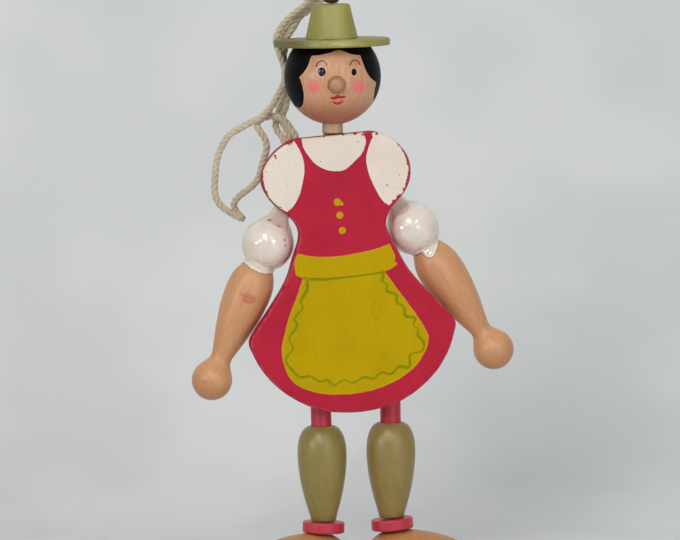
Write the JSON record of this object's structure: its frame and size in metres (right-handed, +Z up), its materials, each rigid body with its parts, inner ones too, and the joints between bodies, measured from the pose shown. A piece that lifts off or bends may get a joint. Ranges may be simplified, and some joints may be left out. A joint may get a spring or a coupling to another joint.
{
  "type": "marionette puppet",
  "caption": "Painted wooden string marionette: flat dress-shaped board, turned arms and legs on pins, ball head with hat, cotton cords to a wooden control bar.",
  "frame": {"origin": "centre of the hanging hole in the control bar, on the puppet's centre line", "axes": "+X to the viewer's right along the control bar, +Y away from the viewer along the hanging hole, +Z up"},
  "size_m": [0.1573, 0.0592, 0.3324],
  "materials": {
    "lacquered_bar": "semi-gloss stained hardwood",
    "cotton_cord": "twisted cotton",
    "painted_hat": "olive paint, worn",
    "head_wood": "clear-varnished maple with painted hair and face",
    "nose_wood": "clear-varnished beech",
    "red_board": "crimson paint with painted blouse and apron",
    "arm_wood": "clear-varnished beech, sleeve end dipped in thick white gloss paint",
    "red_dowel": "crimson paint",
    "olive_leg": "olive stain and varnish",
    "red_washer": "pink-red paint",
    "shoe_wood": "clear-varnished maple",
    "steel_brad": "dull zinc",
    "brass_eye": "dull brass"
  },
  "bodies": {
    "control": {"control_bar": "lacquered_bar"},
    "neck": {"suspension_cord": "cotton_cord", "neck_dowel": "head_wood"},
    "head": {"head_ball": "head_wood", "nose_peg": "nose_wood", "hat_brim": "painted_hat", "hat_crown": "painted_hat", "top_bead": "lacquered_bar"},
    "torso": {"torso_board": "red_board", "neck_pin": "steel_brad", "shoulder_brad_left": "steel_brad", "shoulder_brad_right": "steel_brad", "hip_brad_left": "steel_brad", "hip_brad_right": "steel_brad", "back_eye": "brass_eye", "arm_cord_left": "cotton_cord", "arm_cord_right": "cotton_cord", "back_cord": "cotton_cord"},
    "arm_left": {"turned_arm_left": "arm_wood", "arm_eye_left": "brass_eye"},
    "leg_left": {"upper_leg_left": "red_dowel", "lower_leg_left": "olive_leg", "ankle_nail_left": "steel_brad"},
    "foot_left": {"ankle_washer_left": "red_washer", "shoe_left": "shoe_wood"},
    "arm_right": {"turned_arm_right": "arm_wood", "arm_eye_right": "brass_eye"},
    "leg_right": {"upper_leg_right": "red_dowel", "lower_leg_right": "olive_leg", "ankle_nail_right": "steel_brad"},
    "foot_right": {"ankle_washer_right": "red_washer", "shoe_right": "shoe_wood"}
  },
  "joints": [
    {"name": "puppet_swing", "type": "hinge", "parent": "control", "child": "neck", "pos_m": [0, 0, -0.012], "axis": [0, 1, 0], "range_deg": [-20, 20]},
    {"name": "head_turn", "type": "hinge", "parent": "neck", "child": "head", "pos_m": [0, 0, -0.0863], "axis": [0, 0, 1], "range_deg": [-80, 80]},
    {"name": "torso_tilt", "type": "hinge", "parent": "neck", "child": "torso", "pos_m": [0, 0, -0.12115], "axis": [0, 1, 0], "range_deg": [-1.5, 12.5], "deforming": ["arm_cord_left", "arm_cord_right", "back_cord"]},
    {"name": "shoulder_left", "type": "hinge", "parent": "torso", "child": "arm_left", "pos_m": [-0.02034, 0.00895, -0.14362], "axis": [0, 1, 0], "range_deg": [0, 56]},
    {"name": "hip_left", "type": "hinge", "parent": "torso", "child": "leg_left", "pos_m": [-0.00461, 0.01065, -0.24085], "axis": [0, 1, 0], "range_deg": [-2, 24]},
    {"name": "ankle_left", "type": "hinge", "parent": "leg_left", "child": "foot_left", "pos_m": [-0.00309, 0.01065, -0.30293], "axis": [-0.0279, 0, -0.9996], "range_deg": [-15, 15]},
    {"name": "shoulder_right", "type": "hinge", "parent": "torso", "child": "arm_right", "pos_m": [0.02584, 0.00895, -0.13909], "axis": [0, -1, 0], "range_deg": [0, 56]},
    {"name": "hip_right", "type": "hinge", "parent": "torso", "child": "leg_right", "pos_m": [0.02949, 0.01065, -0.23952], "axis": [0, -1, 0], "range_deg": [-2, 24]},
    {"name": "ankle_right", "type": "hinge", "parent": "leg_right", "child": "foot_right", "pos_m": [0.03024, 0.01065, -0.30161], "axis": [-0.0958, 0, 0.9954], "range_deg": [-15, 15]}
  ]
}
